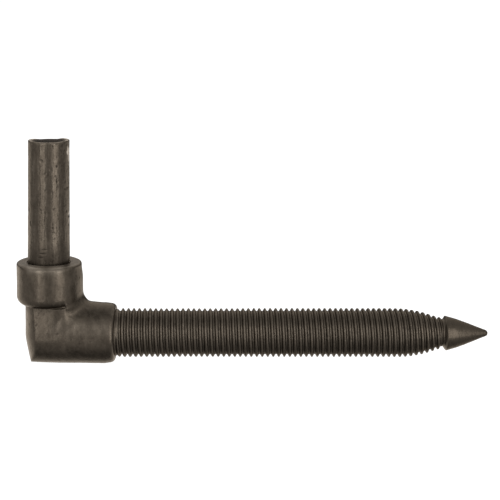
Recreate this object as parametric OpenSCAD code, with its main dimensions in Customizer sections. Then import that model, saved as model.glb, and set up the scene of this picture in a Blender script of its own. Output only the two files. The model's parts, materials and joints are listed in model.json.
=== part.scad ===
// Screw-in gate hook: an upright hinge pin held in a forged eye and elbow,
// with a threaded, cone-pointed shank that screws into a gate post.
// The origin is where the hinge pin's axis meets the flat top of the eye.
// +Z runs up the hinge pin and +X runs along the shank to its point.

/* [Hinge pin] */
// Diameter of the upright hinge pin
pin_d = 19.05; // [16:0.05:19.2]
// Height of the pin above the top of the eye
pin_free = 56; // [40:0.1:80]
// Width of the shallow bevel round the pin's top
bevel_w = 2; // [0.5:0.1:4]
// Height of that bevel
bevel_h = 0.7; // [0.3:0.1:2]
// Diameter of the reduced tail that is pressed into the eye
tail_d = 15; // [12:0.5:15.5]
// Length of the reduced tail below the top of the eye
tail_len = 19; // [12:0.5:20]

/* [Eye] */
// Outer diameter of the eye's collar
eye_d = 30; // [27:0.1:34]
// Height of the collar's straight wall, with its rounded top edge
eye_h = 16.9; // [14:0.1:18]
// Radius of the collar's top edge
eye_edge = 1.1; // [0.4:0.1:2]
// Width of the sunk ring round the foot of the pin
recess_w = 0.8; // [0.7:0.1:1.5]
// Depth of that sunk ring
recess_depth = 0.6; // [0.4:0.1:2]

/* [Elbow] */
// Distance from the top of the eye down to the shank's axis
drop = 33.1; // [33:0.1:40]
// Diameter of the elbow's round body
elbow_d = 27.2; // [25:0.1:29]
// How far the elbow reaches behind the pin's axis
elbow_back = 10.7; // [10.7:0.1:12]
// How far behind the pin's axis the upright edges of the heel are
edge_back = 4.8; // [4:0.1:6]
// Distance from the pin's axis to the elbow's front end
elbow_front = 31.4; // [28:0.1:38]
// Radius of the rounded rim at the elbow's front end
elbow_rim = 2.2; // [1:0.1:2.4]
// Diameter of the round neck just under the collar
neck_d = 21.4; // [20:0.1:21.4]
// Width across the flats of the upright block under the neck
block_w = 25.2; // [24:0.1:26]
// Height of that block above the shank's axis
block_h = 14.1; // [13:0.1:14.4]
// How far the heel leans in at the bottom of the elbow
heel_lean = 2.9; // [1:0.1:4]
// Radius of the blend between the collar and the elbow's top
saddle_r = 3; // [1:0.1:3.5]
// Depth of the mouth in the elbow's front end that the thread runs into
mouth_depth = 1.8; // [1:0.1:3]
// Gap round the thread in that mouth
mouth_gap = 0.3; // [0.2:0.05:0.4]

/* [Shank] */
// Outer diameter of the thread
thread_d = 21.7; // [20:0.1:22]
// Diameter at the bottom of the thread
root_d = 18.8; // [17.5:0.1:19]
// Distance from one turn of the thread to the next
pitch = 2.54; // [2.3:0.01:2.8]
// Number of turns
turns = 58; // [40:1:64]
// Width of the flat on each crest
crest_flat = 0.36; // [0.2:0.02:0.5]
// Distance from the elbow's front end to the first crest
first_crest = 2.2; // [1.4:0.1:3]
// Number of turns over which the thread tapers at the point
taper_turns = 7; // [4:1:10]
// Diameter of the last crest
last_crest_d = 15.2; // [14:0.1:18]
// Diameter of the part of the shank that is held inside the elbow
spigot_d = 17; // [14:0.1:17.4]
// Length of that part
spigot_len = 22; // [15:0.5:23]

/* [Point] */
// Diameter of the groove between the thread and the point
groove_d = 11.8; // [10:0.1:13]
// Diameter of the point's rim
rim_d = 15.6; // [14:0.1:17]
// Diameter where the point's steeper cone begins
waist_d = 13; // [11:0.1:13.5]
// Length of the point from its rim to its tip
point_len = 19.8; // [16:0.1:26]
// Radius of the rounded tip
tip_r = 1.5; // [0.8:0.05:1.6]

/* [Hidden] */
$fn = 96;
fit_gap = 0.005;      // gap round the fitted tail and spigot
tail_chamfer = 0.8;   // on the ends of the tail and spigot
overcut = 1;          // how far cutting cylinders run past a face
seam = 0.001;         // overlap of joined outlines

// Eye: the collar's underside steps in, then slopes to the neck
under_inset = 0.9;
under_drop = 1.3;
neck_top = 4.4;       // below the collar's wall

// Elbow
elbow_r = elbow_d / 2;
block_front = 9;      // x where the block ends
web_lap = 0.6;        // how far the web runs back into the block
web_rise = 0.5;       // how far the web runs up into the collar
heel_stock = 16;      // reach of the heel's stock behind the pin, before it is turned
heel_stock_len = 20;
lean_z = -2.8;        // where the heel's lean starts, from the shank's axis
heel_under = 0.5;     // the heel's turned shape runs this far below the elbow
saddle_w = 10;
saddle_lap_x = 1.2;   // how far the saddle is sunk into the web
saddle_lap_z = 0.8;   // how far it is sunk into the elbow
// the heel's round passes through its back and its two upright edges
edge_y = elbow_r - 0.2;
heel_x = (pow(edge_y, 2) + pow(edge_back, 2) - pow(elbow_back, 2))
  / (2 * (elbow_back - edge_back));
heel_r = heel_x + elbow_back;

// Thread
crest_r = thread_d / 2;
root_r = root_d / 2;
flank = 0.85;         // axial run of one thread flank
taper_depth = 0.95;   // least depth of the thread in its taper
x_first = elbow_front + first_crest;
x_last = x_first + pitch * (turns - 1);
x_taper = x_last - pitch * taper_turns;

// Spigot and point, placed along the shank
spigot_end_gap = 0.02;  // between the spigot's end and the bottom of its bore
x_spigot = elbow_front - spigot_len;
x_mouth = elbow_front - mouth_depth;
x_groove = x_last + 3.2;
x_rim = x_groove + 2.35;
x_steep = x_rim + 4.9;
x_tip = x_rim + point_len;
tip_steps = 6;
// slope of the steep cone, taken to a point on the tip's round, as shares of tip_r
tip_join_r = 0.94;
tip_join_back = 0.66;
cone_angle = atan2(waist_d / 2 - tip_r * tip_join_r, x_tip - tip_r * tip_join_back - x_steep);

// radius of the crest at x: full, then falling away to the last crest
function crest(x) = x <= x_taper ? crest_r
  : crest_r - (crest_r - last_crest_d / 2) * pow((x - x_taper) / (x_last - x_taper), 2);

// radius of the thread's bottom at x: the thread grows shallow as it tapers
function root(x) = min(root_r, crest(x) - taper_depth);

// [radius, x] of one turn centred at x, from its rear flank to its front flank
function turn_points(x) = [
  [root(x), x - crest_flat / 2 - flank],
  [crest(x), x - crest_flat / 2],
  [crest(x), x + crest_flat / 2],
  [root(x), x + crest_flat / 2 + flank]
];

// [radius, x] of the rounded tip, an arc from the cone's slope to the axis
function tip_points() = [
  for (i = [0 : tip_steps])
    let (angle = (90 - cone_angle) * (1 - i / tip_steps))
      [tip_r * sin(angle), x_tip - tip_r + tip_r * cos(angle)]
];

// turns a shape drawn up +Z so that it lies along +X on the shank's axis
module along_shank() translate([0, 0, -drop]) rotate([0, 90, 0]) children();

// half outline of a round bar from start to end, with a rounded edge at its end
module rounded_bar_outline(radius, start, end, edge) {
  translate([0, start]) square([radius, end - edge - start]);
  translate([0, end - edge - seam]) square([radius - edge, edge + seam]);
  translate([radius - edge, end - edge]) circle(r = edge);
}

module collar() {
  rotate_extrude() {
    rounded_bar_outline(radius = eye_d / 2, start = -eye_h, end = 0, edge = eye_edge);
    polygon([
      [0, -eye_h], [eye_d / 2, -eye_h],
      [eye_d / 2 - under_inset, -eye_h - under_drop],
      [neck_d / 2, -eye_h - neck_top], [0, -eye_h - neck_top]
    ]);
  }
}

// round neck from the collar down to the shank's axis
module neck() {
  translate([0, 0, -drop]) cylinder(d = neck_d, h = drop - eye_h);
}

// upright block and the back of the elbow, turned to one large radius at the heel
module block_and_heel() {
  bottom = -elbow_r - heel_under;
  intersection() {
    union() {
      along_shank() translate([0, 0, -heel_stock]) cylinder(d = elbow_d, h = heel_stock_len);
      translate([-heel_stock, -block_w / 2, -drop])
        cube([heel_stock + block_front, block_w, block_h]);
    }
    translate([heel_x, 0, -drop]) rotate_extrude() polygon([
      [0, block_h], [heel_r, block_h], [heel_r, lean_z],
      [heel_r - heel_lean, bottom], [0, bottom]
    ]);
  }
}

module elbow_body() {
  along_shank() rotate_extrude()
    rounded_bar_outline(radius = elbow_r, start = 0, end = elbow_front, edge = elbow_rim);
}

// the collar's wall carried down into the elbow on the shank's side
module web() {
  intersection() {
    translate([0, 0, -drop]) cylinder(d = eye_d, h = drop - eye_h + web_rise);
    translate([block_front - web_lap, -elbow_r, -drop]) cube([eye_d, elbow_d, drop]);
  }
}

// concave blend where the web meets the elbow's top
module saddle() {
  web_x = eye_d / 2;
  top_z = -drop + elbow_r;
  difference() {
    translate([web_x - saddle_lap_x, -saddle_w / 2, top_z - saddle_lap_z])
      cube([saddle_r + saddle_lap_x, saddle_w, saddle_r + saddle_lap_z]);
    translate([web_x + saddle_r, -saddle_w / 2 - overcut, top_z + saddle_r])
      rotate([-90, 0, 0]) cylinder(r = saddle_r, h = saddle_w + 2 * overcut);
  }
}

// forged eye and elbow, bored for the pin's tail and the shank's spigot
module eye_elbow() {
  color("#3a3631") difference() {
    union() {
      collar();
      neck();
      block_and_heel();
      elbow_body();
      web();
      saddle();
    }
    // bore for the pin's tail
    translate([0, 0, -tail_len]) cylinder(d = tail_d + 2 * fit_gap, h = tail_len + overcut);
    // sunk ring round the foot of the pin
    translate([0, 0, -recess_depth])
      cylinder(d = pin_d + 2 * recess_w, h = recess_depth + overcut);
    // bore for the shank's spigot
    along_shank() translate([0, 0, x_spigot])
      cylinder(d = spigot_d + 2 * fit_gap, h = spigot_len + overcut);
    // mouth that the thread runs into
    along_shank() translate([0, 0, x_mouth])
      cylinder(d = thread_d + 2 * mouth_gap, h = mouth_depth + overcut);
  }
}

// upright round bar with a bevelled top and a reduced tail
module hinge_pin() {
  color("#45403a") rotate_extrude() polygon([
    [0, -tail_len], [tail_d / 2 - tail_chamfer, -tail_len],
    [tail_d / 2, -tail_len + tail_chamfer], [tail_d / 2, -recess_depth],
    [pin_d / 2, -recess_depth], [pin_d / 2, pin_free - bevel_h],
    [pin_d / 2 - bevel_w, pin_free], [0, pin_free]
  ]);
}

// shank with its spigot, its thread as closed rings, its taper and its point
module threaded_shank() {
  spigot_end = x_spigot + spigot_end_gap;
  color("#2f2c29") along_shank() rotate_extrude() polygon(concat(
    [[0, spigot_end], [spigot_d / 2 - tail_chamfer, spigot_end],
     [spigot_d / 2, spigot_end + tail_chamfer], [spigot_d / 2, x_mouth],
     [root_r, x_mouth]],
    [for (i = [0 : turns - 1]) each turn_points(x_first + i * pitch)],
    [[groove_d / 2, x_groove], [groove_d / 2, x_rim - (rim_d - groove_d) / 2],
     [rim_d / 2, x_rim], [waist_d / 2, x_steep]],
    tip_points()
  ));
}

eye_elbow();
hinge_pin();
threaded_shank();
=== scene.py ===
"""Screw-in gate hook: upright hinge pin, forged eye and elbow, threaded shank with a cone point.

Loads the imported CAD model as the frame, then builds a detailed mesh for each of its three pieces.
Lengths in this script are millimetres in the row frame (origin on the seat of the eye), and every mesh
is written in metres.
"""
import json
import math

import bpy
import numpy as np
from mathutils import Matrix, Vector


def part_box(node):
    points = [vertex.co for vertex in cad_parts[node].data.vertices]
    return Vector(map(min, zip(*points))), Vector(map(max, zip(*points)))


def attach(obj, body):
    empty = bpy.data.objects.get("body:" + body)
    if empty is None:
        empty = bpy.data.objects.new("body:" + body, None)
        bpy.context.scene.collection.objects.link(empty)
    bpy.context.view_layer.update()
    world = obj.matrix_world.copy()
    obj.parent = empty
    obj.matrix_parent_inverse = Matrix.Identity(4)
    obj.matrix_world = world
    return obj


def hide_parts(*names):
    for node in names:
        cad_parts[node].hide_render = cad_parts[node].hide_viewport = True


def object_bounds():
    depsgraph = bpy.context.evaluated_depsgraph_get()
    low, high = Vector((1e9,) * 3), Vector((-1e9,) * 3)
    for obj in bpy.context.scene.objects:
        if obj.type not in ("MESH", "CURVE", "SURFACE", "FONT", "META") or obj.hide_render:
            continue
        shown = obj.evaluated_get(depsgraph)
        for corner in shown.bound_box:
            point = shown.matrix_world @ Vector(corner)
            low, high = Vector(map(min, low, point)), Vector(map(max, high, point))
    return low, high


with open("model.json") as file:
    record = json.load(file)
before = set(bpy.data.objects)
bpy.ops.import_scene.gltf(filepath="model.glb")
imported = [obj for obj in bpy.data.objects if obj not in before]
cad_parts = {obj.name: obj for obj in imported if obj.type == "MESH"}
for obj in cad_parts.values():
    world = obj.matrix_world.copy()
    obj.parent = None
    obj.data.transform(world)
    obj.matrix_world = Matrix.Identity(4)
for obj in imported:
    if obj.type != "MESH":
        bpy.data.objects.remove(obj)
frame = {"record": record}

cad_box = [[float(v) for v in c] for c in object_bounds()]
MM = 0.001

# ---------------------------------------------------------------- sizes, from the CAD model
mounts = {m["name"]: m for m in frame["record"]["mounts"]}
PIN_R = mounts["hinge_pin"]["dims"]["r_mm"]
CREST_R = mounts["threaded_shank"]["dims"]["r_mm"]
DROP = -mounts["threaded_shank"]["pos_m"][2] * 1000.0          # seat to shank axis
eye_lo, eye_hi = [np.array(v) * 1000.0 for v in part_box("eye_elbow")]
pin_lo, pin_hi = [np.array(v) * 1000.0 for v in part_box("hinge_pin")]
shk_lo, shk_hi = [np.array(v) * 1000.0 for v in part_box("threaded_shank")]
EYE_R = float(eye_hi[1])                     # collar radius
ELBOW_R = float(-eye_lo[2] - DROP)           # radius of the elbow's round body
X_END = float(eye_hi[0])                     # front end of the elbow
PIN_TOP = float(pin_hi[2])
PIN_TAIL = float(pin_lo[2])
X_TIP = float(shk_hi[0])
X_SPIGOT = float(shk_lo[0])
TAIL_R, SPIGOT_R = 7.5, 8.5
PITCH = 2.54
RECESS_R, RECESS_D = PIN_R + 0.8, 0.6
MOUTH_R, MOUTH_D = CREST_R - 0.95, 0.9      # the crests run into the elbow's end


# ---------------------------------------------------------------- repeatable noise
def lattice(ix, iy, iz, seed):
    with np.errstate(over="ignore"):
        v = (ix * np.int64(73856093)) ^ (iy * np.int64(19349663)) ^ (iz * np.int64(83492791))
        v = v + np.int64(seed) * np.int64(2654435761)
        v = (v ^ (v >> np.int64(13))) * np.int64(1274126177)
        v = (v ^ (v >> np.int64(16))) * np.int64(1911520717)
        v = v ^ (v >> np.int64(15))
    return (v & np.int64(0xFFFFFF)).astype(np.float64) / float(0xFFFFFF) * 2.0 - 1.0


def noise(p, seed):
    """Smooth value noise between -1 and 1 at points p (n, 3), one lattice cell to a unit."""
    i = np.floor(p).astype(np.int64)
    f = p - i
    u = f * f * f * (f * (f * 6 - 15) + 10)
    out = np.zeros(len(p))
    for dx in (0, 1):
        for dy in (0, 1):
            for dz in (0, 1):
                w = ((u[:, 0] if dx else 1 - u[:, 0]) * (u[:, 1] if dy else 1 - u[:, 1])
                     * (u[:, 2] if dz else 1 - u[:, 2]))
                out += w * lattice(i[:, 0] + dx, i[:, 1] + dy, i[:, 2] + dz, seed)
    return out


def fractal(p, seed, octaves=3, gain=0.5):
    out, amp, total = np.zeros(len(p)), 1.0, 0.0
    for k in range(octaves):
        out += amp * noise(p * 2.0 ** k + 17.3 * k, seed + k)
        total += amp
        amp *= gain
    return out / total


def smoothstep(a, b, x):
    t = np.clip((x - a) / (b - a), 0, 1)
    return t * t * (3 - 2 * t)


# ---------------------------------------------------------------- shape fields, in mm
def smin(a, b, k):
    h = np.clip(0.5 + 0.5 * (b - a) / k, 0, 1)
    return b * (1 - h) + a * h - k * h * (1 - h)


def smax(a, b, k):
    return -smin(-a, -b, k)


def rounded(a, b, e):
    """Two half-spaces (distances a and b, negative inside) that meet in an edge of radius e."""
    a, b = a + e, b + e
    return np.minimum(np.maximum(a, b), 0) + np.hypot(np.maximum(a, 0), np.maximum(b, 0)) - e


BODY_R = ELBOW_R + 0.04
HEEL_BACK, EDGE_BACK = 10.55, 4.8
HEEL_X = (12.55 ** 2 + EDGE_BACK ** 2 - HEEL_BACK ** 2) / (2 * (HEEL_BACK - EDGE_BACK))
HEEL_R = HEEL_X + HEEL_BACK


def forging(p):
    x, y, z = p[..., 0], p[..., 1], p[..., 2]
    zs = z + DROP
    # collar: an upright ring that leans a little towards the shank at its foot; on the shank's side its wall
    # carries on down into the elbow
    cx = 0.22 + 0.42 * smoothstep(1.0, 9.0, -z)
    wide = 0.22 * smoothstep(2.0, 8.0, -z)
    yw = np.abs(y) + 2.5 * smoothstep(17.2, 25.0, -z)
    rc = np.hypot(x - cx, yw)
    top = z + 0.035 * np.clip(x - 1.0, 0, 14)
    collar = rounded(rc - EYE_R - wide, top, 1.0 + 1.2 * smoothstep(-8.0, -13.0, y))   # its front edge is worn rounder
    floor_z = -18.0 - 15.0 * smoothstep(8.8, 13.0, x)
    under = (rc - 14.0) * 0.589 - (z - floor_z) * 0.808
    collar = smax(collar, under, 1.8)
    # round neck just under the collar
    neck = np.hypot(x, y) - (10.3 + 1.0 * smoothstep(-9.0, -2.0, x) + 3.0 * smoothstep(2.0, 9.5, x))
    neck = np.maximum(neck, np.maximum(z + 8.0, 10.0 - zs))
    # elbow: a round body whose axis rises a little towards the heel, and turns into an upright block under the collar
    ax = zs - 0.008 * np.clip(26.0 - x, 0, 40)
    yy = np.abs(y) + 0.0045 * np.clip(9.0 - x, 0, 16) ** 2
    rr = np.hypot(yy, ax)
    swell = 0.75 * (1 - smoothstep(14.0, 26.0, x)) * smoothstep(0.0, 10.0, ax)
    body = rounded(rr - BODY_R - swell + 0.13 * np.clip(x - 26.4, 0, 6), x - X_END + 0.2, 0.9)
    body = smax(body, (rr - (BODY_R - (x - 29.65))) * 0.707, 0.7)
    # under the collar the block has the collar's own round footprint, a little smaller
    wall = yy - (BODY_R - 0.85 * (np.clip(ax, 0, 20) / 14.0) ** 2)
    foot = np.hypot(x - 0.62, y) - 14.75
    block = rounded(smax(wall, foot, 1.5), zs - 14.1 - 1.3 * smoothstep(-3.4, -5.6, x), 0.45)
    lower = np.where(ax > 0, smin(body, block, 0.01 + 4.0 * smoothstep(0.0, 9.0, ax) * smoothstep(3.0, 10.0, x)), body)
    # the heel: one large upright round that leans in at the bottom, and meets the sides in a crisp edge
    low = np.clip(0.5 - zs, 0, 30)
    hr = HEEL_R - 0.230 * low * low / (low + 3.0)
    heel = np.where(x < HEEL_X, np.hypot(x - HEEL_X, y) - hr, np.abs(y) - HEEL_R)
    lower = smax(lower, heel, 0.40)
    upper = smin(collar, neck, 0.6)
    d = smin(upper, lower, 0.5 + 3.9 * smoothstep(6.8, 13.0, x) * (1 - 0.50 * smoothstep(3.0, 10.0, np.abs(y))))
    # sunk ring round the foot of the pin, and the bores
    rp = np.hypot(x, y)
    ring = rounded(rp - RECESS_R + 0.35, -(z + RECESS_D), 0.05)
    d = smax(d, -ring, 0.20)
    bore = np.maximum(rp - (TAIL_R + 0.03), -(z - PIN_TAIL))
    d = np.maximum(d, -bore)
    rs = np.hypot(y, zs)
    mouth = np.maximum(rs - (MOUTH_R + np.clip(x - (X_END - 0.6), 0, 2) * 0.5), -(x - (X_END - MOUTH_D)))
    d = smax(d, -mouth, 0.15)
    bore2 = np.maximum(rs - (SPIGOT_R + 0.03), -(x - X_SPIGOT))
    return np.maximum(d, -bore2)


def surface_net(field, lo, hi, h):
    """Quads on the zero surface of a field, one vertex to a cell, then moved onto the surface."""
    n = np.ceil((hi - lo) / h).astype(int) + 1
    ax = [lo[k] + h * np.arange(n[k]) for k in range(3)]
    f = np.empty(n, np.float64)
    for i in range(n[0]):                                   # a slab at a time keeps memory small
        yy, zz = np.meshgrid(ax[1], ax[2], indexing="ij")
        f[i] = field(np.stack([np.full_like(yy, ax[0][i]), yy, zz], -1))
    s = f < 0
    c = s[:-1, :-1, :-1].astype(np.int8)
    for dx, dy, dz in ((0, 0, 1), (0, 1, 0), (0, 1, 1), (1, 0, 0), (1, 0, 1), (1, 1, 0), (1, 1, 1)):
        c = c + s[dx:n[0] - 1 + dx, dy:n[1] - 1 + dy, dz:n[2] - 1 + dz]
    cells = np.argwhere((c > 0) & (c < 8))
    index = -np.ones(np.array(n) - 1, np.int64)
    index[tuple(cells.T)] = np.arange(len(cells))
    total, count = np.zeros((len(cells), 3)), np.zeros(len(cells))
    corners = [(a, b, d) for a in (0, 1) for b in (0, 1) for d in (0, 1)]
    for a in corners:
        for k in range(3):
            if a[k] == 0:
                b = tuple(v + (1 if j == k else 0) for j, v in enumerate(a))
                fa, fb = f[tuple((cells + a).T)], f[tuple((cells + b).T)]
                hit = (fa < 0) != (fb < 0)
                t = np.where(hit, fa / np.where(hit, fa - fb, 1.0), 0)
                q = (cells + a).astype(float)
                q[:, k] += t
                total += np.where(hit[:, None], q, 0)
                count += hit
    v = lo + total / count[:, None] * h
    quads = []
    for k in range(3):
        u, w = [j for j in range(3) if j != k]
        step = [0, 0, 0]
        step[k] = 1
        a = s
        sl0 = tuple(slice(0, n[j] - 1) if j == k else slice(1, n[j] - 1) for j in range(3))
        sl1 = tuple(slice(1, n[j]) if j == k else slice(1, n[j] - 1) for j in range(3))
        cross = a[sl0] != a[sl1]
        e = np.argwhere(cross)
        base = e.copy()
        for j in (u, w):
            base[:, j] += 1
        inside = a[tuple(base.T)]

        def at(du, dw):
            q = base.copy()
            q[:, u] += du
            q[:, w] += dw
            return index[tuple(q.T)]
        quad = np.stack([at(-1, -1), at(0, -1), at(0, 0), at(-1, 0)], 1)
        flip = inside if k != 1 else ~inside
        quad[~flip] = quad[~flip][:, ::-1]
        quads.append(quad)
    quads = np.concatenate(quads)
    # move each vertex onto the surface along the field's slope
    for _ in range(4):
        val = field(v)
        g = gradient(field, v)
        v = v - g * (np.clip(val, -0.6 * h, 0.6 * h) / np.maximum((g * g).sum(1), 0.25))[:, None]
    return v, quads


def gradient(field, v, e=0.02):
    g = np.empty_like(v)
    for k in range(3):
        d = np.zeros(3)
        d[k] = e
        g[:, k] = (field(v + d) - field(v - d)) / (2 * e)
    return g


def make_object(name, verts, faces, wear=None, smooth=True):
    """verts in mm; faces as one (n, 4) array of quads and/or an (m, 3) array of triangles."""
    me = bpy.data.meshes.new(name)
    groups = faces if isinstance(faces, (list, tuple)) else [faces]
    groups = [g for g in groups if len(g)]
    loops = np.concatenate([g.ravel() for g in groups]).astype(np.int32)
    sizes = np.concatenate([np.full(len(g), g.shape[1], np.int32) for g in groups])
    starts = np.concatenate([[0], np.cumsum(sizes)[:-1]]).astype(np.int32)
    me.vertices.add(len(verts))
    me.vertices.foreach_set("co", (np.asarray(verts, np.float64) * MM).astype(np.float32).ravel())
    me.loops.add(len(loops))
    me.loops.foreach_set("vertex_index", loops)
    me.polygons.add(len(sizes))
    me.polygons.foreach_set("loop_start", starts)
    me.update(calc_edges=True)
    me.polygons.foreach_set("use_smooth", np.full(len(sizes), smooth))
    if wear is not None:
        for key, values in wear.items():
            at = me.attributes.new(key, "FLOAT", "POINT")
            at.data.foreach_set("value", np.asarray(values, np.float32))
    me.validate()
    me.update()
    ob = bpy.data.objects.new(name, me)
    bpy.context.scene.collection.objects.link(ob)
    return ob


# ---------------------------------------------------------------- forged eye and elbow
H = 0.36
lo = np.array([-15.8, -16.2, -DROP - 14.6])
hi = np.array([X_END + 0.9, 16.2, 0.9])
fv, fq = surface_net(forging, lo, hi, H)
g = gradient(forging, fv, 0.05)
nrm = g / np.maximum(np.linalg.norm(g, axis=1), 1e-9)[:, None]
# how convex the surface is there: positive on edges, negative in corners
eps = 0.55
curv = (forging(fv + nrm * 0) * 0)
for k in range(3):
    d = np.zeros(3)
    d[k] = eps
    curv += forging(fv + d) + forging(fv - d)
curv = curv / eps
# forging scale: broad dents, a fine skin and scattered pits; none of it on the bores or the seat's ring
inner = (np.hypot(fv[:, 0], fv[:, 1]) < RECESS_R + 0.3) & (fv[:, 2] > -22)
inner |= (np.hypot(fv[:, 1], fv[:, 2] + DROP) < MOUTH_R + 0.5) & (fv[:, 0] > X_SPIGOT - 1)
hold = np.where(inner, 0.0, 1.0)
broad = fractal(fv / 7.5, 11, 3)
fine = fractal(fv / 1.9, 31, 3, 0.6)
pit = np.clip(fractal(fv / 1.25, 57, 2) - 0.40, 0, 1) * 1.9
pit_zone = smoothstep(-0.3, 0.5, noise(fv / 9.0, 71))
dent = 0.07 * broad + 0.026 * fine - 0.16 * pit * (0.35 + 0.65 * pit_zone)
fv = fv + nrm * (dent * hold)[:, None]
# painted shade: a darker band just under the collar's overhang, fading out towards the shank; it goes in through the
# pit attribute and dims the edge wear there
painted_shade_under_collar = 0.48 * np.exp(-((fv[:, 2] + 18.7) / 2.6) ** 2) * smoothstep(-18.4, -19.0, fv[:, 2]) * (1 - smoothstep(10.0, 15.0, fv[:, 0]))
# painted highlight: the collar's flat top is painted lighter and duller, most of all on a patch at the front that runs
# over the rounded edge
painted_front_highlight_mask = smoothstep(-5.0, -9.5, fv[:, 1]) * (1 - smoothstep(6.8, 9.4, np.abs(fv[:, 0] - 0.2)))
seat = (0.36 + 0.50 * smoothstep(-1.1, -0.3, fv[:, 2])) * painted_front_highlight_mask * smoothstep(-4.2, -0.9, fv[:, 2]) * (1 - 0.42 * np.exp(-((fv[:, 0] - 0.8) / 2.3) ** 2))
seat += 0.26 * (1 - painted_front_highlight_mask) * smoothstep(-0.9, -0.3, fv[:, 2])
seat *= smoothstep(PIN_R + 0.3, PIN_R + 0.6, np.hypot(fv[:, 0], fv[:, 1]))
# and a broad, faint lighter and duller band along both sides of the elbow, a little above its axis
seat += 0.12 * np.exp(-((fv[:, 2] + DROP - 5.8) / 3.4) ** 2) * smoothstep(0.0, 6.0, fv[:, 0]) * (1 - smoothstep(28.0, 30.5, fv[:, 0])) \
    * smoothstep(7.0, 10.0, np.abs(fv[:, 1]))
# the root attribute carries this painted highlight on the collar's top, and the lighter band on the elbow
eye = make_object("forged_eye_and_elbow", fv, fq,
                  {"edge": np.clip(curv * 0.5, -1, 1) * (1 - painted_shade_under_collar),
                   "pit": np.clip(pit * (0.35 + 0.65 * pit_zone) + painted_shade_under_collar, 0, 1), "root": seat})


# ---------------------------------------------------------------- bodies turned about an axis
def turned(profile, n, close_start=True, close_end=True):
    """Ring grid of a profile [(along, radius)], with end caps as fans. Returns along, radius and angle grids, quads and tris."""
    prof = np.array(profile, float)
    m = len(prof)
    th = np.arange(n) * 2 * math.pi / n
    along = np.repeat(prof[:, 0], n)
    rad = np.repeat(prof[:, 1], n)
    ang = np.tile(th, m)
    i = np.arange(m - 1)[:, None] * n
    j = np.arange(n)[None, :]
    quads = np.stack([i + j, i + (j + 1) % n, i + n + (j + 1) % n, i + n + j], -1).reshape(-1, 4)
    tris = []
    if close_start:
        c = len(along)
        along, rad, ang = np.append(along, prof[0, 0]), np.append(rad, 0.0), np.append(ang, 0.0)
        tris.append(np.stack([np.full(n, c), (np.arange(n) + 1) % n, np.arange(n)], 1))
    if close_end:
        c = len(along)
        along, rad, ang = np.append(along, prof[-1, 0]), np.append(rad, 0.0), np.append(ang, 0.0)
        b = (m - 1) * n
        tris.append(np.stack([np.full(n, c), b + np.arange(n), b + (np.arange(n) + 1) % n], 1))
    return along, rad, ang, quads, np.concatenate(tris) if tris else np.zeros((0, 3), int)


def steps(a, b, h):
    k = max(1, int(math.ceil(abs(b - a) / h)))
    return [a + (b - a) * t / k for t in range(k)]


# ---------------------------------------------------------------- hinge pin
NP = 260
HP = 0.28
prof = [(PIN_TAIL, 0.01), (PIN_TAIL, TAIL_R - 0.8), (PIN_TAIL + 0.8, TAIL_R - 0.02)]
prof += [(z, TAIL_R - 0.02) for z in steps(PIN_TAIL + 2, -RECESS_D - 0.01, 2.0)]
prof += [(-RECESS_D, TAIL_R - 0.02), (-RECESS_D, PIN_R - 0.35), (-RECESS_D + 0.02, PIN_R - 0.12),
         (-RECESS_D + 0.15, PIN_R)]
prof += [(z, PIN_R) for z in steps(-RECESS_D + 0.3, PIN_TOP - 1.15, HP)]
prof += [(PIN_TOP - 1.15, PIN_R), (PIN_TOP - 0.95, PIN_R - 0.02), (PIN_TOP - 0.78, PIN_R - 0.09),
         (PIN_TOP - 0.66, PIN_R - 0.24), (PIN_TOP - 0.56, PIN_R - 0.5), (PIN_TOP - 0.44, PIN_R - 0.9),
         (PIN_TOP - 0.3, PIN_R - 1.3), (PIN_TOP - 0.16, PIN_R - 1.7), (PIN_TOP - 0.07, PIN_R - 1.95),
         (PIN_TOP - 0.03, PIN_R - 2.15)]
prof += [(PIN_TOP - 0.02, r) for r in np.arange(PIN_R - 2.4, 0.3, -0.32)]
al, ra, an, pq, pt = turned(prof, NP)
pos = np.stack([ra * np.cos(an), ra * np.sin(an), al], 1)
wall = (ra > PIN_R - 0.2) & (al > -RECESS_D + 0.1)
top = (al > PIN_TOP - 1.0)
shown = smoothstep(-0.3, 0.8, al) * np.where(wall, 1.0, 0.0)
cyl = np.stack([np.cos(an) * PIN_R, np.sin(an) * PIN_R, al], 1)
# rolled bar: streaks along its length, scale pits, a few knocks
streak = fractal(cyl * np.array([1 / 1.6, 1 / 1.6, 1 / 15.0]), 101, 3, 0.6)
streak2 = fractal(cyl * np.array([1 / 0.8, 1 / 0.8, 1 / 4.0]), 131, 2, 0.6)
skin = fractal(cyl / np.array([1.0, 1.0, 1.3]), 151, 3, 0.6)
ppit = np.clip(fractal(cyl * np.array([1 / 1.0, 1 / 1.0, 1 / 1.5]), 171, 2) - 0.30, 0, 1) * 2.0
pzone = smoothstep(-0.35, 0.45, noise(cyl / 10.0, 181) + 0.5 * smoothstep(38, 50, al))
off = 0.05 * streak + 0.03 * streak2 + 0.035 * skin - 0.15 * ppit * (0.3 + 0.7 * pzone)
bare = np.zeros(len(an))
ragged = 1.0 + 1.1 * fractal(cyl * np.array([1 / 1.3, 1 / 1.3, 1 / 1.9]), 191, 3, 0.7)
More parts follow.
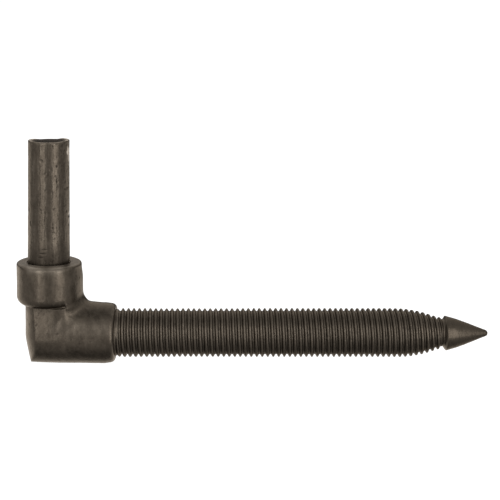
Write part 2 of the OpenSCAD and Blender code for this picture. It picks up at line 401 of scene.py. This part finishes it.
# knocks in the wall: each is (angle in degrees, height, half width, half length, depth, how bare the steel is)
for a0, z0, w, l, dp, b in ((6, 51.2, 3.0, 1.7, 0.02, 0.45), (352, 51.2, 2.5, 2.4, 0.05, 1.0),
                            (353, 48.4, 2.0, 2.8, 0.04, 0.8), (351, 45.6, 1.2, 2.0, 0.04, 0.5),
                            (186, 47.6, 1.2, 1.4, 0.22, 0.2), (357, 21.9, 1.8, 1.1, 0.45, 0.62), (352, 18.4, 1.2, 1.6, 0.22, 0.45),
                            (192, 22.6, 1.2, 1.0, 0.25, 0.5), (196, 36.0, 1.3, 1.7, 0.18, 0.1), (355, 37.5, 1.0, 1.5, 0.22, 0.4),
                            (258, 47.6, 0.8, 0.7, 0.16, 0.0), (263, 41.0, 0.7, 0.9, 0.07, 0.0), (297, 47.9, 0.7, 0.7, 0.10, 0.0),
                            (284, 44.0, 0.8, 1.2, 0.08, 0.0), (262, 5.2, 1.8, 0.35, 0.15, 0.22), (268, 7.0, 1.5, 0.30, 0.14, 0.25),
                            (258, 3.4, 1.2, 0.30, 0.12, 0.15), (100, 30.0, 1.6, 1.2, 0.25, 0.3), (60, 44.0, 1.1, 2.2, 0.2, 0.2),
                            (145, 19.0, 1.2, 2.6, 0.2, 0.1)):
    da = ((an - math.radians(a0) + math.pi) % (2 * math.pi) - math.pi) * PIN_R
    far = (da / w) ** 2 + ((al - z0) / l) ** 2
    off -= dp * np.exp(-far ** 2)
    bare = np.maximum(bare, b * np.exp(-(far * np.maximum(ragged, 0.3)) ** 2))
off = np.minimum(off, 0.09) + 0.05 + (1 - smoothstep(0.0, 48.0, al)) * (0.03 + 0.14 * np.clip(np.cos(an), 0, 1))
# the end: a flat face inside a worn bevel, with a burr left standing on two sides and one at the front
side = smoothstep(0.30, 0.92, np.abs(np.cos(an - math.radians(9))))
front = np.exp(-(((an - math.radians(272) + math.pi) % (2 * math.pi) - math.pi) * PIN_R / 1.9) ** 2)
lip = 0.82 * side + 0.45 * front + 0.16 + 0.12 * noise(np.stack([np.cos(an) * 3, np.sin(an) * 3, 0 * an], 1), 231)
rim = smoothstep(PIN_R - 2.3, PIN_R - 0.55, ra) * smoothstep(PIN_TOP - 3.2, PIN_TOP - 0.6, al)
face = np.where(top & (ra < PIN_R - 0.1), 1.0, 0.0)
tn = fractal(pos / 1.6, 211, 3, 0.6)
dz = face * (0.02 * tn - 0.06 * np.clip(fractal(pos / 0.9, 221, 2) - 0.3, 0, 1)) + lip * rim
dz -= face * 0.18 * (1 - smoothstep(3.0, PIN_R - 1.9, ra))
bare = np.maximum(bare, 0.75 * smoothstep(0.66, 0.92, np.abs(np.cos(an - math.radians(9)))) * smoothstep(PIN_TOP - 0.95, PIN_TOP - 0.5, al) * (ra > PIN_R - 1.4))
rr_new = np.where(wall, ra + off * shown, ra + 0.10 * noise(pos / 2.2, 233) * face * (ra > 3))
pos = np.stack([rr_new * np.cos(an), rr_new * np.sin(an), al + dz], 1)
# painted shade: the pin's wall is darker towards its foot at the collar, and its lighter streaks fade there
painted_shade_at_pin_foot = 0.60 * (1 - smoothstep(2.5, 11.0, al)) * np.where(wall, 1.0, 0.0)
pin = make_object("hinge_pin_bar", pos, [pq, pt],
                  {"edge": np.clip((streak * 0.8 + streak2 * 0.6) * np.where(wall, 1 - painted_shade_at_pin_foot, 0)
                                   + np.where(top & (ra > PIN_R - 1.9), 0.7, 0), -1, 1),
                   "pit": np.clip(ppit * (0.3 + 0.7 * pzone) + painted_shade_at_pin_foot, 0, 1), "bare": bare,
                   "cut": face * (1 - smoothstep(PIN_R - 2.2, PIN_R - 1.4, ra))})

# ---------------------------------------------------------------- threaded shank
NT = 92
X_A = X_END - MOUTH_D                       # the thread starts inside the elbow's mouth
CREST_0 = 34.40                             # a crest passes the top of the shank here
ROOT_R = 9.66
X_LAST = 181.9
X_B = 182.55                                # the thread ends here, at the groove behind the point
us = [-0.5, -0.43, -0.37, -0.31, -0.22, -0.13, -0.075, -0.04, 0.0, 0.04, 0.075, 0.13, 0.22, 0.31, 0.37, 0.43]
hs = [0.0, 0.015, 0.09, 0.27, 0.66, 0.935, 0.985, 0.995, 1.0, 0.995, 0.985, 0.935, 0.66, 0.27, 0.09, 0.015]
# painted light: per step of the profile, how much the flanks and roots are painted lighter, most on the flank facing
# the point, to lift the shade the neighbouring turns throw and move the crest highlight towards the point
painted_flank_light = [0.42, 0.38, 0.28, 0.16, 0.10, 0.08, 0.05, 0.10, 0.35, 0.70, 0.90, 1.0, 1.0, 0.90, 0.70, 0.52]
M = len(us)
turns0 = int(math.floor((X_A - CREST_0) / PITCH)) - 1
turns1 = int(math.ceil((X_B - CREST_0) / PITCH)) + 1
s = np.concatenate([(k + np.array(us)) * PITCH for k in range(turns0, turns1 + 1)])
hgt = np.tile(hs, turns1 + 1 - turns0)
painted_flank_light_rows = np.tile(painted_flank_light, turns1 + 1 - turns0)
J = len(s)
th = np.arange(NT) * 2 * math.pi / NT       # right-hand angle about +X, from +Y
X = CREST_0 + PITCH * (th[None, :] / (2 * math.pi) - 0.25) + s[:, None]
Hh = np.repeat(hgt[:, None], NT, 1)
TH = np.repeat(th[None, :], J, 0)


def crest_radius(x):
    """Full height to 162 mm, then down in a curve towards the point."""
    return CREST_R - np.interp(x, (162.0, 165.0, 168.0, 170.5, 173.0, 175.5, 178.0, 180.5, 182.5),
                               (0.0, 0.13, 0.44, 0.85, 1.38, 2.05, 2.85, 3.6, 3.95))


def root_radius(x):
    return np.minimum(ROOT_R, crest_radius(x) - 1.15 + 0.25 * smoothstep(X_LAST - 2.5, X_B, x))


def thread_radius(x, h):
    c, r = crest_radius(x), root_radius(x)
    depth = smoothstep(X_END - 0.4, X_END + 2.3, x)            # the thread runs out at the elbow's mouth
    radius = r + (c - r) * h * depth + 0.20 * (1 - smoothstep(X_END + 0.4, X_END + 2.4, x)) \
        + 0.65 * (1 - smoothstep(X_END - 0.2, X_END + 1.1, x))
    # the last turn dies away into the groove
    fade = smoothstep(X_LAST - 0.4, X_B, x)
    return radius * (1 - fade) + 6.05 * fade


unwrapped = X                                # position along the shank also counts the turns
path = np.stack([np.cos(TH) * 6, np.sin(TH) * 6, X / 3.0], -1).reshape(-1, 3)
wornness = 0.5 + 0.5 * fractal(np.stack([np.cos(TH), np.sin(TH), X / 14.0], -1).reshape(-1, 3) * 1.3, 301, 3).reshape(J, NT)
band = smoothstep(40, 58, X) * (1 - smoothstep(78, 98, X))           # crests knocked flatter here
nick = np.clip(fractal(path * 1.1, 321, 2).reshape(J, NT) - 0.38, 0, 1)
R = thread_radius(X, Hh)
crest_w = smoothstep(0.6, 1.0, Hh)
R += crest_w * (0.08 - 0.05 * wornness - 0.14 * band * wornness - 0.28 * nick)
R += (1 - crest_w) * 0.03 * fractal(path * 0.8, 341, 2).reshape(J, NT)
Xw = X + 0.03 * fractal(np.stack([np.cos(TH) * 2, np.sin(TH) * 2, X / 5.0], -1).reshape(-1, 3), 361, 2).reshape(J, NT)
ids = np.arange(J * NT).reshape(J, NT)
ring_a, ring_b = J * NT + np.arange(NT), J * NT + NT + np.arange(NT)
ids = np.where(X <= X_A + 0.02, ring_a[None, :], ids)
ids = np.where(X >= X_B - 0.02, ring_b[None, :], ids)
verts = np.stack([Xw, R * np.cos(TH), R * np.sin(TH)], -1).reshape(-1, 3)
end_a = np.stack([np.full(NT, X_A), (ROOT_R + 0.85) * np.cos(th), (ROOT_R + 0.85) * np.sin(th)], 1)
end_b = np.stack([np.full(NT, X_B), np.full(NT, 6.05) * np.cos(th), np.full(NT, 6.05) * np.sin(th)], 1)
verts = np.concatenate([verts, end_a, end_b])
j = np.arange(J)
cols = []
for i in range(NT):
    if i < NT - 1:
        a, b = ids[:-1, i], ids[1:, i]
        c, d = ids[1:, i + 1], ids[:-1, i + 1]
    else:                                    # once round, a row joins the one a whole turn further on
        a, b = ids[:J - 1 - M, i], ids[1:J - M, i]
        c, d = ids[M + 1:, 0], ids[M:-1, 0]
    cols.append(np.stack([a, d, c, b], 1))
quads = np.concatenate(cols)


def clean(q):
    """Quads with merged corners become triangles or go."""
    same = [q[:, k] == q[:, (k + 1) % 4] for k in range(4)]
    dup = sum(x.astype(int) for x in same)
    diag = (q[:, 0] == q[:, 2]) | (q[:, 1] == q[:, 3])
    ok = q[(dup == 0) & ~diag]
    tri = []
    for k in range(4):
        pick = q[(dup == 1) & same[k] & ~diag]
        tri.append(pick[:, [x for x in range(4) if x != (k + 1) % 4]])
    return ok, np.concatenate(tri)


tq, tt = clean(quads)
crest_attr = np.concatenate([(smoothstep(0.72, 1.0, Hh)).ravel(), np.zeros(2 * NT)])
nick_attr = np.concatenate([nick.ravel(), np.zeros(2 * NT)])
# painted shade: the underside of the thread is darkened through the pit attribute, and given the dull tint through the
# cut attribute
underside_painted_shade = np.concatenate([0.45 * smoothstep(0.05, -0.60, np.sin(TH)).ravel(), np.zeros(2 * NT)])

# groove, rim and cone point, on from ring_b; spigot back from ring_a
RIM_X, RIM_R = 184.15, 7.80
cone_prof = [(X_B + 0.15, 6.03), (X_B + 0.35, 6.14), (X_B + 0.6, 6.42), (X_B + 0.85, 6.78), (X_B + 1.12, 7.18),
             (X_B + 1.35, RIM_R - 0.28), (RIM_X - 0.08, RIM_R - 0.07), (RIM_X + 0.06, RIM_R), (RIM_X + 0.24, RIM_R - 0.01),
             (RIM_X + 0.45, RIM_R - 0.08)]
tip_r = 1.54
slope = math.radians(19.9)
t_end = X_TIP - tip_r + tip_r * math.sin(slope)
r_end = tip_r * math.cos(slope)
x1 = RIM_X + 8.6
r1 = r_end + (t_end - x1) * math.tan(slope)
c0 = np.array([RIM_X + 0.6, RIM_R - 0.12])
# convex first part, as a curve that starts shallow and ends on the cone's slope
for t in np.linspace(0, 1, 22)[:-1]:
    b1 = np.array([RIM_X + 4.6, r1 + (x1 - (RIM_X + 4.6)) * math.tan(slope)])
    q = (1 - t) ** 2 * c0 + 2 * t * (1 - t) * b1 + t * t * np.array([x1, r1])
    cone_prof.append((float(q[0]), float(q[1])))
cone_prof += [(x, r_end + (t_end - x) * math.tan(slope)) for x in steps(x1, t_end, 0.34)]
for k in range(0, 9):
    a = (math.pi / 2 - slope) * (1 - k / 9.0)
    cone_prof.append((X_TIP - tip_r + tip_r * math.cos(a), tip_r * math.sin(a)))
cp = np.array(cone_prof)
CXN = np.repeat(cp[:, 0][:, None], NT, 1)
CR = np.repeat(cp[:, 1][:, None], NT, 1)
CT = np.repeat(th[None, :], len(cp), 0)
turnm = np.stack([np.cos(CT) * 0.5, np.sin(CT) * 0.5, CXN / 0.55], -1).reshape(-1, 3)
bump = 0.016 * noise(turnm, 401).reshape(CR.shape)
soft = 0.035 * fractal(np.stack([CR * np.cos(CT), CR * np.sin(CT), CXN], -1).reshape(-1, 3) / 2.6, 411, 2).reshape(CR.shape)
cone_on = smoothstep(0.4, 3.0, CR)
CR = CR + (bump + soft - 0.03) * cone_on
CR = CR + 0.13 * smoothstep(185.5, 189.0, CXN) * (1 - smoothstep(195.0, 202.0, CXN))   # a little full in the middle
base = len(verts)
cone_v = np.stack([CXN, CR * np.cos(CT), CR * np.sin(CT)], -1).reshape(-1, 3)
tip_v = np.array([[X_TIP, 0.0, 0.0]])
prev = ring_b
cq = []
for k in range(len(cp)):
    cur = base + k * NT + np.arange(NT)
    cq.append(np.stack([prev, np.roll(prev, -1), np.roll(cur, -1), cur], 1))
    prev = cur
tip_id = base + len(cp) * NT
ct = np.stack([prev, np.roll(prev, -1), np.full(NT, tip_id)], 1)
verts = np.concatenate([verts, cone_v, tip_v])
# spigot
sp = [(X_A, SPIGOT_R + 0.15), (X_A, SPIGOT_R - 0.02)] + [(x, SPIGOT_R - 0.02) for x in steps(X_A - 1.5, X_SPIGOT + 1.2, 2.0)]
sp += [(X_SPIGOT + 0.82, SPIGOT_R - 0.02), (X_SPIGOT + 0.03, SPIGOT_R - 0.8)]
base2 = len(verts)
sv, sq = [], []
prev = ring_a
for k, (x, r) in enumerate(sp):
    sv.append(np.stack([np.full(NT, x), r * np.cos(th), r * np.sin(th)], 1))
    cur = base2 + k * NT + np.arange(NT)
    sq.append(np.stack([prev, cur, np.roll(cur, -1), np.roll(prev, -1)], 1))
    prev = cur
cap = base2 + len(sp) * NT
sv.append(np.array([[X_SPIGOT + 0.03, 0.0, 0.0]]))
st = np.stack([prev, np.full(NT, cap), np.roll(prev, -1)], 1)
verts = np.concatenate([verts] + sv)
# drop the vertices that the ends left unused
allq = np.concatenate([tq] + cq + sq)
allt = np.concatenate([tt, ct, st])
used = np.zeros(len(verts), bool)
used[allq.ravel()] = True
used[allt.ravel()] = True
remap = np.cumsum(used) - 1
n_extra = len(verts) - len(crest_attr)
edge_attr = np.concatenate([crest_attr, np.zeros(n_extra)])
nick_and_shade_attr = np.concatenate([2 * nick_attr + underside_painted_shade, np.zeros(n_extra)])
# painted light: the thread's two end rings and the groove's rows behind the point are painted lighter too
painted_light_attr = np.concatenate([np.repeat(painted_flank_light_rows[:, None], NT, 1).ravel(), np.ones(NT) * 0.9, np.ones(NT) * 0.7, np.zeros(n_extra)])
painted_light_attr[base:base + 5 * NT] = np.repeat([0.7, 0.6, 0.5, 0.3, 0.1], NT)
cone_attr = np.zeros(len(verts))
cone_attr[base + 8 * NT:base2] = 1.0
cut_and_shade_attr = 0.30 * cone_attr
cut_and_shade_attr[:len(underside_painted_shade)] = 0.85 * underside_painted_shade
rim_rows = slice(base + 5 * NT, base + 10 * NT)
edge_attr[rim_rows] = 0.55
shank_v = verts[used]
shank_v[:, 0] += (0.25 * shank_v[:, 2] / 7.5 - 0.15) * np.exp(-((shank_v[:, 0] - 183.0) / 1.3) ** 2)
shank_v[:, 2] -= DROP + 0.27 * smoothstep(150.0, 188.0, shank_v[:, 0])      # the point is bent a hair down
shank_v[:, 2] += 0.26 * np.exp(-((shank_v[:, 0] - 182.5) / 0.75) ** 2)              # and the groove is cut off centre
shank = make_object("threaded_screw_shank", shank_v, [remap[allq], remap[allt]],
                    {"edge": edge_attr[used], "pit": np.clip(nick_and_shade_attr[used], 0, 1), "root": painted_light_attr[used],
                     "cut": cut_and_shade_attr[used], "cone": cone_attr[used]})


# ---------------------------------------------------------------- materials
class Nodes:
    def __init__(self, name):
        self.mat = bpy.data.materials.new(name)
        self.mat.use_nodes = True
        self.nt = self.mat.node_tree
        self.nt.nodes.clear()
        self.out = self.add("ShaderNodeOutputMaterial")
        self.bsdf = self.add("ShaderNodeBsdfPrincipled")
        self.link(self.bsdf.outputs[0], self.out.inputs["Surface"])
        self.coord = self.add("ShaderNodeTexCoord").outputs["Object"]

    def add(self, kind, **values):
        n = self.nt.nodes.new(kind)
        for k, v in values.items():
            setattr(n, k, v)
        return n

    def link(self, a, b):
        self.nt.links.new(a, b)

    def put(self, socket, value):
        if isinstance(value, bpy.types.NodeSocket):
            self.link(value, socket)
        else:
            socket.default_value = value

    def scaled(self, sx, sy, sz, turn=None):
        m = self.add("ShaderNodeMapping")
        self.link(self.coord, m.inputs["Vector"])
        m.inputs["Scale"].default_value = (sx * 1000, sy * 1000, sz * 1000)
        return m.outputs[0]

    def noise(self, vec, scale=1.0, detail=3.0, rough=0.5, distortion=0.0):
        n = self.add("ShaderNodeTexNoise")
        self.link(vec, n.inputs["Vector"])
        n.inputs["Scale"].default_value = scale
        n.inputs["Detail"].default_value = detail
        n.inputs["Roughness"].default_value = rough
        n.inputs["Distortion"].default_value = distortion
        return n.outputs["Fac"]

    def voronoi(self, vec, scale=1.0, feature="F1"):
        n = self.add("ShaderNodeTexVoronoi", feature=feature)
        self.link(vec, n.inputs["Vector"])
        n.inputs["Scale"].default_value = scale
        return n.outputs["Distance"]

    def remap(self, value, a, b, c=0.0, d=1.0):
        n = self.add("ShaderNodeMapRange")
        self.put(n.inputs["Value"], value)
        for k, v in zip(("From Min", "From Max", "To Min", "To Max"), (a, b, c, d)):
            n.inputs[k].default_value = v
        return n.outputs[0]

    def math(self, op, a, b=0.0, c=None, clamp=False):
        n = self.add("ShaderNodeMath", operation=op, use_clamp=clamp)
        self.put(n.inputs[0], a)
        self.put(n.inputs[1], b)
        if c is not None:
            self.put(n.inputs[2], c)
        return n.outputs[0]

    def mix(self, fac, a, b, blend="MIX"):
        n = self.add("ShaderNodeMix", data_type="RGBA", blend_type=blend)
        self.put(n.inputs[0], fac)
        for s, v in ((n.inputs[6], a), (n.inputs[7], b)):
            self.put(s, v if isinstance(v, bpy.types.NodeSocket) else (*v, 1.0))
        return n.outputs[2]

    def attr(self, name):
        n = self.add("ShaderNodeAttribute", attribute_name=name)
        return n.outputs["Fac"]

    def bump(self, height, strength, distance_mm, normal=None):
        n = self.add("ShaderNodeBump")
        n.inputs["Strength"].default_value = strength
        n.inputs["Distance"].default_value = distance_mm * MM
        self.link(height, n.inputs["Height"])
        if normal is not None:
            self.link(normal, n.inputs["Normal"])
        return n.outputs[0]


DARK = (0.036, 0.0295, 0.0225)
MID = (0.058, 0.0475, 0.0370)
LIGHT = (0.105, 0.089, 0.071)
DUST = (0.150, 0.129, 0.105)
BARE = (0.42, 0.38, 0.335)
GRIME_AND_PAINTED_SHADE = (0.012, 0.0095, 0.0072)


def black_steel(name, grain_scale, streaks, rough_lo, rough_hi, edge_gain, line_gain=0.5, tone=1.0, metal=0.86,
                painted_light_color=GRIME_AND_PAINTED_SHADE, painted_light_gain=0.22, painted_light_dull=0.0, cloud_bump=0.50, cloud_mix=0.30):
    m = Nodes(name)
    p = m.scaled(1, 1, 1)
    s = m.scaled(*streaks)
    blotch = m.noise(p, 0.16, 5, 0.62, 0.6)
    cloud = m.noise(p, 0.55, 4, 0.6, 0.3)
    line = m.noise(s, 1.0, 4, 0.6)
    grain = m.noise(p, grain_scale, 3, 0.65)
    spot = m.remap(m.voronoi(p, 0.62), 0.05, 0.20, 1.0, 0.0)
    spot_on = m.remap(m.noise(p, 0.33, 2), 0.50, 0.62, 0.0, 1.0)
    spots = m.math("MULTIPLY", spot, spot_on)
    edge = m.remap(m.attr("edge"), 0.10, 0.85, 0.0, 1.0)
    pit = m.attr("pit")
    root = m.attr("root")
    bare = m.remap(m.math("ADD", m.attr("bare"), m.math("MULTIPLY", m.math("SUBTRACT", grain, 0.5), 0.5)), 0.35, 0.75)
    scale_t = lambda c: tuple(v * tone for v in c)
    base = m.mix(m.remap(blotch, 0.34, 0.68), scale_t(DARK), scale_t(MID))
    base = m.mix(m.math("MULTIPLY", m.remap(line, 0.46, 0.74), line_gain), base, scale_t(LIGHT))
    base = m.mix(m.math("MULTIPLY", m.remap(cloud, 0.52, 0.78), cloud_mix), base, scale_t(LIGHT))
    rubbed = m.math("MULTIPLY", edge, m.remap(grain, 0.30, 0.62, 0.35, 1.0))
    base = m.mix(m.math("MULTIPLY", rubbed, edge_gain), base, scale_t(DUST))
    # the pit attribute holds real scale pits and nicks, and also painted shade: under the collar, at the pin's foot
    # and on the thread's underside
    base = m.mix(m.math("MULTIPLY", pit, 0.75), base, GRIME_AND_PAINTED_SHADE)
    base = m.mix(m.math("MULTIPLY", spots, 0.45), base, GRIME_AND_PAINTED_SHADE)
    # the root attribute is painted light: lighter thread flanks, roots, end rings and groove, a lighter collar top,
    # and a faint band along the elbow
    base = m.mix(m.math("MULTIPLY", root, painted_light_gain), base, painted_light_color)
    base = m.mix(m.math("MULTIPLY", m.attr("cone"), 0.60), base, scale_t(DARK))
    base = m.mix(bare, base, BARE)
    m.link(base, m.bsdf.inputs["Base Color"])
    r = m.remap(blotch, 0.3, 0.7, rough_lo, rough_hi)
    r = m.math("ADD", r, m.remap(grain, 0.3, 0.7, -0.05, 0.06))
    r = m.math("ADD", r, m.math("MULTIPLY", pit, 0.25))
    r = m.math("ADD", r, m.math("MULTIPLY", root, 0.10))
    r = m.math("SUBTRACT", r, m.math("MULTIPLY", rubbed, 0.06))
    r = m.math("SUBTRACT", r, m.math("MULTIPLY", m.attr("cut"), 0.15))
    m.link(r, m.bsdf.inputs["Roughness"])
    m.link(m.math("MULTIPLY", m.math("SUBTRACT", 1.0, m.math("MULTIPLY", root, painted_light_dull)), metal), m.bsdf.inputs["Metallic"])
    m.bsdf.inputs["IOR"].default_value = 1.5
    # at a glancing angle the oil-blackened skin stays warm, and a sawn face stays dull; on the thread's underside the
    # same dull tint is painted shade
    tint = m.mix(m.attr("cut"), (0.93, 0.85, 0.76), (0.32, 0.29, 0.26))
    m.link(tint, m.bsdf.inputs["Specular Tint"])
    n = m.bump(cloud, cloud_bump, 0.09)
    n = m.bump(line, 0.55, 0.06, n)
    n = m.bump(grain, 0.40, 0.035, n)
    n = m.bump(m.math("MULTIPLY", spots, -1.0), 0.6, 0.08, n)
    m.link(n, m.bsdf.inputs["Normal"])
    return m.mat


mat_forge = black_steel("black_forged_steel", 4.2, (0.60, 0.60, 0.22), 0.27, 0.37, 0.40, 0.35, cloud_bump=0.30, cloud_mix=0.12,
                        painted_light_color=(0.26, 0.225, 0.185), painted_light_gain=0.50, painted_light_dull=0.75)
mat_pin = black_steel("black_rolled_bar", 4.6, (1.25, 1.25, 0.10), 0.25, 0.36, 0.40, 0.45)
mat_shank = black_steel("black_cut_thread", 5.0, (2.2, 0.35, 0.35), 0.26, 0.36, 0.04, 0.40, tone=0.94,
                        painted_light_color=(0.26, 0.225, 0.185), painted_light_gain=0.16)
eye.data.materials.append(mat_forge)
pin.data.materials.append(mat_pin)
shank.data.materials.append(mat_shank)

# ---------------------------------------------------------------- pieces on the frame
for piece, node, slot in ((eye, "eye_elbow", "forging"), (pin, "hinge_pin", "pin_bar"), (shank, "threaded_shank", "shank")):
    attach(piece, "root")
    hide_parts(node)

# ---------------------------------------------------------------- floor, light and camera
sc = bpy.context.scene
sc.view_settings.view_transform = "Standard"
sc.view_settings.look = "None"

floor_z = cad_box[0][2] - 0.0008
fm = bpy.data.meshes.new("floor")
fm.from_pydata([(-12, -12, floor_z), (12, -12, floor_z), (12, 12, floor_z), (-12, 12, floor_z)], [], [(0, 1, 2, 3)])
floor = bpy.data.objects.new("floor", fm)
sc.collection.objects.link(floor)
fmat = bpy.data.materials.new("pale_floor")
fmat.use_nodes = True
nt = fmat.node_tree
nt.nodes.clear()
o = nt.nodes.new("ShaderNodeOutputMaterial")
mx = nt.nodes.new("ShaderNodeMixShader")
em = nt.nodes.new("ShaderNodeEmission")
em.inputs["Color"].default_value = (1, 1, 1, 1)
em.inputs["Strength"].default_value = 1.25
df = nt.nodes.new("ShaderNodeBsdfDiffuse")
df.inputs["Color"].default_value = (0.93, 0.93, 0.925, 1)
mx.inputs[0].default_value = 0.14
nt.links.new(em.outputs[0], mx.inputs[1])
nt.links.new(df.outputs[0], mx.inputs[2])
nt.links.new(mx.outputs[0], o.inputs["Surface"])
fm.materials.append(fmat)
floor.visible_glossy = False
floor.visible_diffuse = False

# world: white to the camera; what the steel mirrors is a white backdrop behind and a dim room in front
w = bpy.data.worlds.new("studio")
sc.world = w
w.use_nodes = True
nt = w.node_tree
nt.nodes.clear()


def N(kind, **kw):
    n = nt.nodes.new(kind)
    for k, v in kw.items():
        setattr(n, k, v)
    return n


def wmath(op, a, b=0.0, clamp=False):
    n = N("ShaderNodeMath", operation=op, use_clamp=clamp)
    for sck, val in ((n.inputs[0], a), (n.inputs[1], b)):
        if isinstance(val, bpy.types.NodeSocket):
            nt.links.new(val, sck)
        else:
            sck.default_value = val
    return n.outputs[0]


def wstep(v, a, b, c=0.0, d=1.0):
    n = N("ShaderNodeMapRange", interpolation_type="SMOOTHSTEP")
    nt.links.new(v, n.inputs["Value"])
    for k, val in zip(("From Min", "From Max", "To Min", "To Max"), (a, b, c, d)):
        n.inputs[k].default_value = val
    return n.outputs[0]


tc = N("ShaderNodeTexCoord")
sep = N("ShaderNodeSeparateXYZ")
nt.links.new(tc.outputs["Generated"], sep.inputs[0])
dx, dy, dzz = sep.outputs


def by_elevation(stops):
    """Brightness of the room against the elevation in degrees, halved to fit the ramp's 0 to 1."""
    n = N("ShaderNodeValToRGB")
    r = n.color_ramp
    r.interpolation = "LINEAR"
    while len(r.elements) > 1:
        r.elements.remove(r.elements[-1])
    for k, (deg, v) in enumerate(stops):
        at = (math.sin(math.radians(deg)) + 1) / 2
        e = r.elements[0] if k == 0 else r.elements.new(at)
        e.position = at
        e.color = (v / 2, v / 2, v / 2, 1)
    nt.links.new(wmath("ADD", wmath("MULTIPLY", dzz, 0.5), 0.5), n.inputs[0])
    return n.outputs["Color"]


room_front = by_elevation(((-90, 0.22), (-75, 0.25), (-62, 0.38), (-48, 0.68), (-35, 0.95), (-20, 1.05), (0, 1.10),
                           (23, 1.40), (46, 1.35), (58, 0.95), (70, 0.62), (84, 0.38), (90, 0.40)))
room_back = by_elevation(((-90, 0.26), (-80, 0.42), (-60, 1.00), (-30, 1.30), (-12, 0.82), (-5, 0.30), (0, 0.05),
                          (8, 0.04), (11, 0.34), (13, 0.64), (17, 0.94), (21, 0.98), (46, 1.10), (66, 1.04), (82, 0.62), (90, 0.42)))
blend = wstep(dy, -0.25, 0.30)
roommix = N("ShaderNodeMix", data_type="FLOAT")
nt.links.new(blend, roommix.inputs[0])
nt.links.new(room_front, roommix.inputs[2])
nt.links.new(room_back, roommix.inputs[3])
# two pale side walls, a little behind the object
walls = wmath("MULTIPLY", wmath("MULTIPLY", wstep(dy, 0.12, 0.45), wstep(dy, 0.93, 0.70)),
              wmath("MULTIPLY", wstep(dzz, -0.55, -0.25), wstep(dzz, 0.02, -0.06)))
level = wmath("ADD", wmath("MULTIPLY", roommix.outputs[0], 2.0), wmath("MULTIPLY", walls, 0.95))
bg_env = N("ShaderNodeBackground")
nt.links.new(level, bg_env.inputs["Strength"])
bg_env.inputs["Color"].default_value = (1.0, 0.985, 0.965, 1)
bg_cam = N("ShaderNodeBackground")
bg_cam.inputs["Color"].default_value = (1, 1, 1, 1)
bg_cam.inputs["Strength"].default_value = 1.05
lp = N("ShaderNodeLightPath")
mixw = N("ShaderNodeMixShader")
nt.links.new(lp.outputs["Is Camera Ray"], mixw.inputs[0])
nt.links.new(bg_env.outputs[0], mixw.inputs[1])
nt.links.new(bg_cam.outputs[0], mixw.inputs[2])
ow = N("ShaderNodeOutputWorld")
nt.links.new(mixw.outputs[0], ow.inputs["Surface"])


def softbox(name, azimuth, elevation, distance, size_x, size_y, power, aim=(0.03, 0.0, -0.01)):
    ld = bpy.data.lights.new(name, "AREA")
    ld.shape = "RECTANGLE"
    ld.size, ld.size_y = size_x, size_y
    ld.energy = power
    ld.color = (1.0, 0.985, 0.96)
    ob = bpy.data.objects.new(name, ld)
    a, e = math.radians(azimuth), math.radians(elevation)
    ob.location = (aim[0] + distance * math.sin(a) * math.cos(e), aim[1] - distance * math.cos(a) * math.cos(e),
                   aim[2] + distance * math.sin(e))
    from mathutils import Vector
    ob.rotation_mode = "QUATERNION"
    ob.rotation_quaternion = (Vector(aim) - ob.location).to_track_quat("-Z", "Y")
    ob.visible_camera = False
    sc.collection.objects.link(ob)
    return ob


softbox("softbox_left", -27, 12, 1.5, 0.56, 1.60, 10.5)
softbox("softbox_right", 42, 7, 1.5, 0.56, 1.45, 10.8)

cam_data = bpy.data.cameras.new("camera")
cam = bpy.data.objects.new("camera", cam_data)
sc.collection.objects.link(cam)
sc.camera = cam
cam_data.sensor_width = 36.0
cam_data.lens = 82.8
cam.rotation_mode = "XYZ"
cam.rotation_euler = (math.pi / 2, 0.0, 0.0)
cam.location = (0.0847, -0.534, 0.1519 - DROP * MM)
cam_data.clip_start, cam_data.clip_end = 0.01, 60.0
# The picture was taken with the image plane upright and the lens shifted down. The shift goes when the camera is
# moved to another view, which sets its rotation mode to QUATERNION (0) from XYZ (1).
for path, amount in (("shift_x", 0.0376), ("shift_y", -0.4895)):
    fc = cam_data.driver_add(path)
    var = fc.driver.variables.new()
    var.name = "mode"
    var.type = "SINGLE_PROP"
    var.targets[0].id_type = "OBJECT"
    var.targets[0].id = cam
    var.targets[0].data_path = "rotation_mode"
    fc.driver.type = "SUM"
    fc.keyframe_points.clear()
    for old in list(fc.modifiers):
        fc.modifiers.remove(old)
    line = fc.modifiers.new("GENERATOR")      # the amount times the mode
    line.poly_order = 1
    line.coefficients = (0.0, amount)
